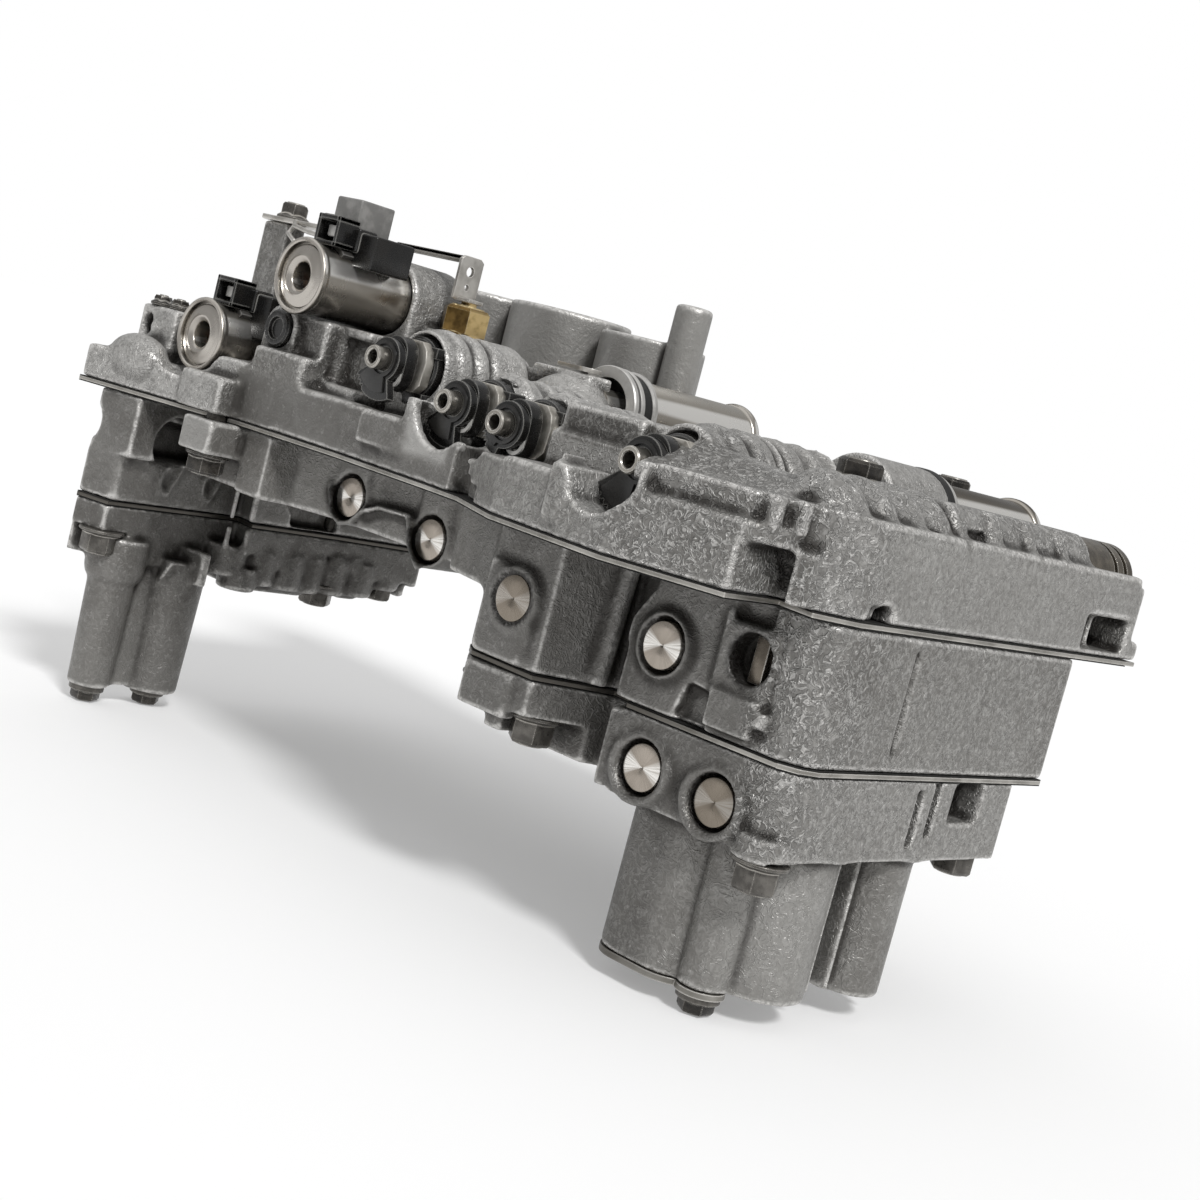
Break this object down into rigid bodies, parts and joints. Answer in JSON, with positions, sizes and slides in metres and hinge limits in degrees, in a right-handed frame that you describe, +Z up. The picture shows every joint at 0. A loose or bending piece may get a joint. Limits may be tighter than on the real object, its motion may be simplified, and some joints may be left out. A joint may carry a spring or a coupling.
{
  "type": "transmission valve body",
  "caption": "Stacked aluminium valve body of an automatic transmission with solenoids, pressure adjusters, spool valves behind turned plugs, and accumulator towers as legs.",
  "frame": {"origin": "on the floor under the middle of the bounding box; the four feet are bolt heads at z = 0", "axes": "+X along the length towards the end with the towers, +Y from the plug face to the rear, +Z up"},
  "size_m": [0.282, 0.176, 0.1721],
  "materials": {
    "cast": "rough die-cast skin, smeared grain, edges worn brighter",
    "sheet": "thin rolled sheet, dull",
    "gasket": "black fibre gasket edge",
    "turned_steel": "fine turned",
    "turned_aluminium": "faced in a lathe, radial sheen",
    "spring_steel": "drawn wire",
    "bolt_steel": "blackened steel, flange edges worn bright",
    "black_plastic": "moulded, satin",
    "black_rubber": "smooth",
    "brass": "dull brass",
    "copper": "enamelled winding"
  },
  "bodies": {
    "valve_body": {"upper_body": "cast", "middle_body": "cast", "right_lower_body": "cast", "left_lower_body": "cast", "rear_body": "cast", "upper_plate": "sheet", "lower_plate": "sheet", "tower_covers": "sheet", "hold_bracket": "sheet", "sensor_strap": "sheet", "adjuster_clips": "sheet", "upper_gaskets": "gasket", "lower_gaskets": "gasket", "solenoid_a_case": "turned_steel", "solenoid_b_case": "turned_steel", "solenoid_c_case": "turned_steel", "solenoid_d_case": "turned_steel", "adjuster_tubes": "turned_steel", "end_plug": "turned_steel", "check_balls": "turned_steel", "valve_keys": "turned_steel", "valve_plugs": "turned_aluminium", "valve_spring_1": "spring_steel", "valve_spring_2": "spring_steel", "valve_spring_3": "spring_steel", "valve_spring_4": "spring_steel", "valve_spring_5": "spring_steel", "valve_spring_6": "spring_steel", "valve_spring_7": "spring_steel", "accumulator_spring_1": "spring_steel", "accumulator_spring_2": "spring_steel", "accumulator_spring_3": "spring_steel", "lower_bolts": "bolt_steel", "deck_bolts": "bolt_steel", "small_bolts": "bolt_steel", "solenoid_a_connector": "black_plastic", "solenoid_b_connector": "black_plastic", "adjuster_1_sleeve": "black_plastic", "adjuster_2_sleeve": "black_plastic", "adjuster_3_sleeve": "black_plastic", "adjuster_4_sleeve": "black_plastic", "deck_plug": "black_plastic", "solenoid_seals": "black_rubber", "temperature_sensor": "brass", "solenoid_coils": "copper"},
    "valve_1": {"spool_1": "turned_steel"},
    "valve_2": {"spool_2": "turned_steel"},
    "valve_3": {"spool_3": "turned_steel"},
    "valve_4": {"spool_4": "turned_steel"},
    "valve_5": {"spool_5": "turned_steel"},
    "valve_6": {"spool_6": "turned_steel"},
    "valve_7": {"spool_7": "turned_steel"},
    "plunger_a": {"solenoid_a_plunger": "turned_steel"},
    "plunger_b": {"solenoid_b_plunger": "turned_steel"},
    "plunger_c": {"solenoid_c_plunger": "turned_steel"},
    "plunger_d": {"solenoid_d_plunger": "turned_steel"},
    "piston_1": {"accumulator_piston_1": "turned_aluminium"},
    "piston_2": {"accumulator_piston_2": "turned_aluminium"},
    "piston_3": {"accumulator_piston_3": "turned_aluminium"}
  },
  "joints": [
    {"name": "valve_1_slide", "type": "slide", "parent": "valve_body", "child": "valve_1", "axis": [0, -1, 0], "range_m": [0, 0.005], "stiffness_N_per_m": 300, "springref_m": -0.002, "deforming": ["valve_spring_1"]},
    {"name": "valve_2_slide", "type": "slide", "parent": "valve_body", "child": "valve_2", "axis": [0, -1, 0], "range_m": [0, 0.005], "stiffness_N_per_m": 300, "springref_m": -0.002, "deforming": ["valve_spring_2"]},
    {"name": "valve_3_slide", "type": "slide", "parent": "valve_body", "child": "valve_3", "axis": [0, -1, 0], "range_m": [0, 0.005], "stiffness_N_per_m": 300, "springref_m": -0.002, "deforming": ["valve_spring_3"]},
    {"name": "valve_4_slide", "type": "slide", "parent": "valve_body", "child": "valve_4", "axis": [0, -1, 0], "range_m": [0, 0.005], "stiffness_N_per_m": 300, "springref_m": -0.002, "deforming": ["valve_spring_4"]},
    {"name": "valve_5_slide", "type": "slide", "parent": "valve_body", "child": "valve_5", "axis": [0, -1, 0], "range_m": [0, 0.005], "stiffness_N_per_m": 300, "springref_m": -0.002, "deforming": ["valve_spring_5"]},
    {"name": "valve_6_slide", "type": "slide", "parent": "valve_body", "child": "valve_6", "axis": [0, -1, 0], "range_m": [0, 0.005], "stiffness_N_per_m": 300, "springref_m": -0.002, "deforming": ["valve_spring_6"]},
    {"name": "valve_7_slide", "type": "slide", "parent": "valve_body", "child": "valve_7", "axis": [0, -1, 0], "range_m": [0, 0.005], "stiffness_N_per_m": 300, "springref_m": -0.002, "deforming": ["valve_spring_7"]},
    {"name": "plunger_a_slide", "type": "slide", "parent": "valve_body", "child": "plunger_a", "axis": [0, -1, 0], "range_m": [0, 0.002], "stiffness_N_per_m": 200, "springref_m": -0.001},
    {"name": "plunger_b_slide", "type": "slide", "parent": "valve_body", "child": "plunger_b", "axis": [0, -1, 0], "range_m": [0, 0.002], "stiffness_N_per_m": 200, "springref_m": -0.001},
    {"name": "plunger_c_slide", "type": "slide", "parent": "valve_body", "child": "plunger_c", "axis": [0, 1, 0], "range_m": [0, 0.002], "stiffness_N_per_m": 200, "springref_m": -0.001},
    {"name": "plunger_d_slide", "type": "slide", "parent": "valve_body", "child": "plunger_d", "axis": [0, 1, 0], "range_m": [0, 0.002], "stiffness_N_per_m": 200, "springref_m": -0.001},
    {"name": "piston_1_slide", "type": "slide", "parent": "valve_body", "child": "piston_1", "axis": [0, 0, -1], "range_m": [0, 0.006], "stiffness_N_per_m": 800, "springref_m": -0.004, "deforming": ["accumulator_spring_1"]},
    {"name": "piston_2_slide", "type": "slide", "parent": "valve_body", "child": "piston_2", "axis": [0, 0, -1], "range_m": [0, 0.006], "stiffness_N_per_m": 800, "springref_m": -0.004, "deforming": ["accumulator_spring_2"]},
    {"name": "piston_3_slide", "type": "slide", "parent": "valve_body", "child": "piston_3", "axis": [0, 0, 1], "range_m": [0, 0.006], "stiffness_N_per_m": 800, "springref_m": -0.004, "deforming": ["accumulator_spring_3"]}
  ]
}
